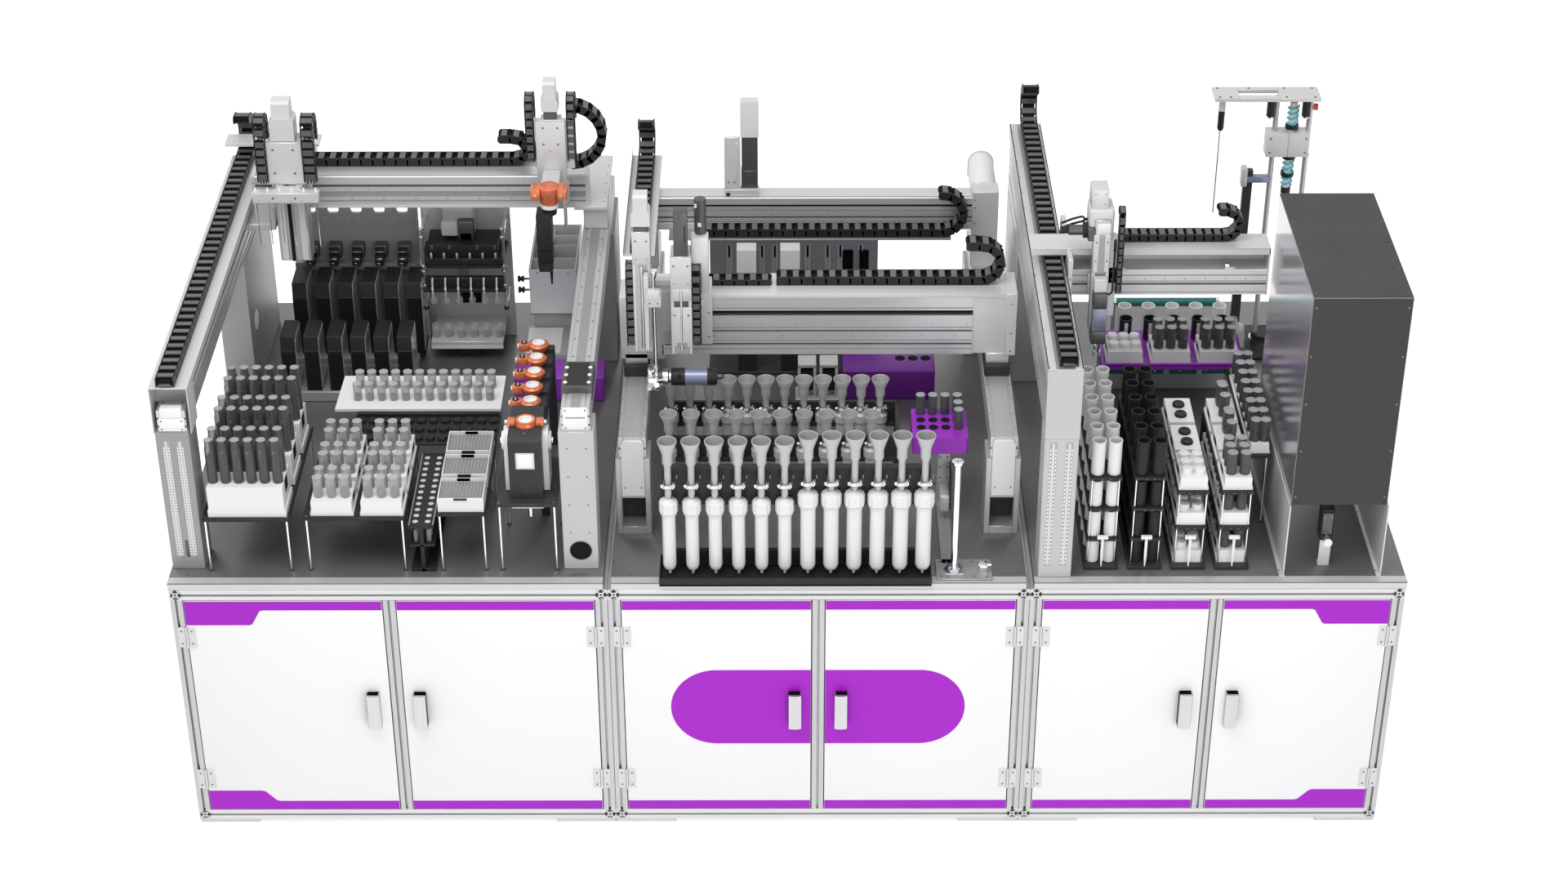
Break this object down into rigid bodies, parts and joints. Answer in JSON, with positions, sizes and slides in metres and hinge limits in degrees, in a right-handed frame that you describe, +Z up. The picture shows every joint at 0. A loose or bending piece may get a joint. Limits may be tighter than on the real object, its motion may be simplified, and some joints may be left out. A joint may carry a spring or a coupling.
{
  "type": "synthesis workstation",
  "caption": "Modular laboratory synthesis bench: cartesian gantries over vial racks, filter columns and stations, on aluminium-framed cabinets with hinged doors.",
  "frame": {"origin": "middle of the outline at floor level", "axes": "+X to the right seen from the doors, +Y to the back, +Z up"},
  "size_m": [3.954, 1.871, 2.164],
  "materials": {
    "aluminium": "brushed",
    "pale_sheet": "satin",
    "grey_top": "satin",
    "white_paint": "satin",
    "white_plastic": "satin",
    "black_plastic": "satin",
    "dark_paint": "satin",
    "grey_clear": "clear vials in dark racks",
    "frosted": "frosted",
    "purple": "anodised",
    "orange": "satin",
    "cover_paint": "satin"
  },
  "bodies": {
    "cabinets": {"frame_left": "aluminium", "frame_middle": "aluminium", "frame_right": "aluminium", "rail_left_outer": "aluminium", "rail_left_inner": "aluminium", "rail_middle_left": "aluminium", "rail_middle_right": "aluminium", "rail_right": "aluminium", "rear_beam": "aluminium", "condenser_tower": "aluminium", "bath_station": "pale_sheet", "dispensing_head": "pale_sheet", "vented_panel": "pale_sheet", "top_left": "grey_top", "top_middle": "grey_top", "top_right": "grey_top", "lining_left": "white_paint", "lining_middle": "white_paint", "lining_right": "white_paint", "tip_box_stand": "white_plastic", "vial_shelf": "white_plastic", "filter_row_front": "white_plastic", "chain_left_y": "black_plastic", "chain_middle_y": "black_plastic", "chain_right_y": "black_plastic", "narrow_cap_rack": "black_plastic", "capping_station": "black_plastic", "filter_tray": "black_plastic", "small_valve": "black_plastic", "cartridge_panel": "dark_paint", "tall_vial_stand": "grey_clear", "small_vial_stand": "grey_clear", "side_rack": "grey_clear", "filter_rows_rear": "frosted", "rack_post": "purple", "tray_station": "purple", "valve_bank": "orange", "cover_box": "cover_paint"},
    "door_left_a_body": {"door_left_a": "white_paint"},
    "door_left_b_body": {"door_left_b": "white_paint"},
    "door_middle_a_body": {"door_middle_a": "white_paint"},
    "door_middle_b_body": {"door_middle_b": "white_paint"},
    "door_right_a_body": {"door_right_a": "white_paint"},
    "door_right_b_body": {"door_right_b": "white_paint"},
    "bridge_left_body": {"bridge_left": "aluminium"},
    "dosing_carriage_body": {"dosing_carriage": "pale_sheet"},
    "needle_bar_body": {"needle_bar": "aluminium"},
    "capper_carriage_body": {"capper_carriage": "pale_sheet"},
    "capper_tool_body": {"capper_tool": "black_plastic"},
    "bridge_middle_body": {"bridge_middle": "aluminium"},
    "tube_carriage_body": {"tube_carriage": "pale_sheet"},
    "tube_gripper_body": {"tube_gripper": "frosted"},
    "rear_carriage_body": {"rear_carriage": "pale_sheet"},
    "bridge_right_body": {"bridge_right": "aluminium"},
    "vial_carriage_body": {"vial_carriage": "pale_sheet"},
    "vial_gripper_body": {"vial_gripper": "black_plastic"},
    "pull_rack_a_body": {"pull_rack_a": "white_plastic"},
    "pull_rack_b_body": {"pull_rack_b": "black_plastic"},
    "pull_rack_c_body": {"pull_rack_c": "white_plastic"},
    "pull_rack_d_body": {"pull_rack_d": "grey_clear"}
  },
  "joints": [
    {"name": "door_left_a_hinge", "type": "hinge", "parent": "cabinets", "child": "door_left_a_body", "pos_m": [-1.9332, -0.9055, 0.48], "axis": [0, 0, -1], "range_deg": [0, 90]},
    {"name": "door_left_b_hinge", "type": "hinge", "parent": "cabinets", "child": "door_left_b_body", "pos_m": [-0.6168, -0.9055, 0.48], "axis": [0, 0, 1], "range_deg": [0, 90]},
    {"name": "door_middle_a_hinge", "type": "hinge", "parent": "cabinets", "child": "door_middle_a_body", "pos_m": [-0.5332, -0.9055, 0.48], "axis": [0, 0, -1], "range_deg": [0, 90]},
    {"name": "door_middle_b_hinge", "type": "hinge", "parent": "cabinets", "child": "door_middle_b_body", "pos_m": [0.7332, -0.9055, 0.48], "axis": [0, 0, 1], "range_deg": [0, 90]},
    {"name": "door_right_a_hinge", "type": "hinge", "parent": "cabinets", "child": "door_right_a_body", "pos_m": [0.8168, -0.9055, 0.48], "axis": [0, 0, -1], "range_deg": [0, 90]},
    {"name": "door_right_b_hinge", "type": "hinge", "parent": "cabinets", "child": "door_right_b_body", "pos_m": [1.9332, -0.9055, 0.48], "axis": [0, 0, 1], "range_deg": [0, 90]},
    {"name": "left_bridge_travel", "type": "slide", "parent": "cabinets", "child": "bridge_left_body", "axis": [0, 1, 0], "range_m": [-0.85, 0.02]},
    {"name": "dosing_travel", "type": "slide", "parent": "bridge_left_body", "child": "dosing_carriage_body", "axis": [1, 0, 0], "range_m": [-0.02, 0.3]},
    {"name": "needle_lift", "type": "slide", "parent": "dosing_carriage_body", "child": "needle_bar_body", "axis": [0, 0, 1], "range_m": [-0.09, 0.12]},
    {"name": "capper_travel", "type": "slide", "parent": "bridge_left_body", "child": "capper_carriage_body", "axis": [1, 0, 0], "range_m": [-0.3, 0.01]},
    {"name": "capper_lift", "type": "slide", "parent": "capper_carriage_body", "child": "capper_tool_body", "axis": [0, 0, 1], "range_m": [0, 0.12]},
    {"name": "middle_bridge_travel", "type": "slide", "parent": "cabinets", "child": "bridge_middle_body", "axis": [0, 1, 0], "range_m": [-0.33, 0.12]},
    {"name": "tube_travel", "type": "slide", "parent": "bridge_middle_body", "child": "tube_carriage_body", "axis": [1, 0, 0], "range_m": [-0.02, 0.8]},
    {"name": "tube_lift", "type": "slide", "parent": "tube_carriage_body", "child": "tube_gripper_body", "axis": [0, 0, 1], "range_m": [0, 0.15]},
    {"name": "rear_carriage_travel", "type": "slide", "parent": "cabinets", "child": "rear_carriage_body", "axis": [1, 0, 0], "range_m": [-0.2, 0.7]},
    {"name": "right_bridge_travel", "type": "slide", "parent": "cabinets", "child": "bridge_right_body", "axis": [0, 1, 0], "range_m": [-0.45, 0.55]},
    {"name": "vial_travel", "type": "slide", "parent": "bridge_right_body", "child": "vial_carriage_body", "axis": [1, 0, 0], "range_m": [-0.03, 0.42]},
    {"name": "vial_lift", "type": "slide", "parent": "vial_carriage_body", "child": "vial_gripper_body", "axis": [0, 0, 1], "range_m": [0, 0.12]},
    {"name": "pull_a", "type": "slide", "parent": "cabinets", "child": "pull_rack_a_body", "axis": [0, -1, 0], "range_m": [0, 0.3]},
    {"name": "pull_b", "type": "slide", "parent": "cabinets", "child": "pull_rack_b_body", "axis": [0, -1, 0], "range_m": [0, 0.3]},
    {"name": "pull_c", "type": "slide", "parent": "cabinets", "child": "pull_rack_c_body", "axis": [0, -1, 0], "range_m": [0, 0.3]},
    {"name": "pull_d", "type": "slide", "parent": "cabinets", "child": "pull_rack_d_body", "axis": [0, -1, 0], "range_m": [0, 0.3]}
  ]
}
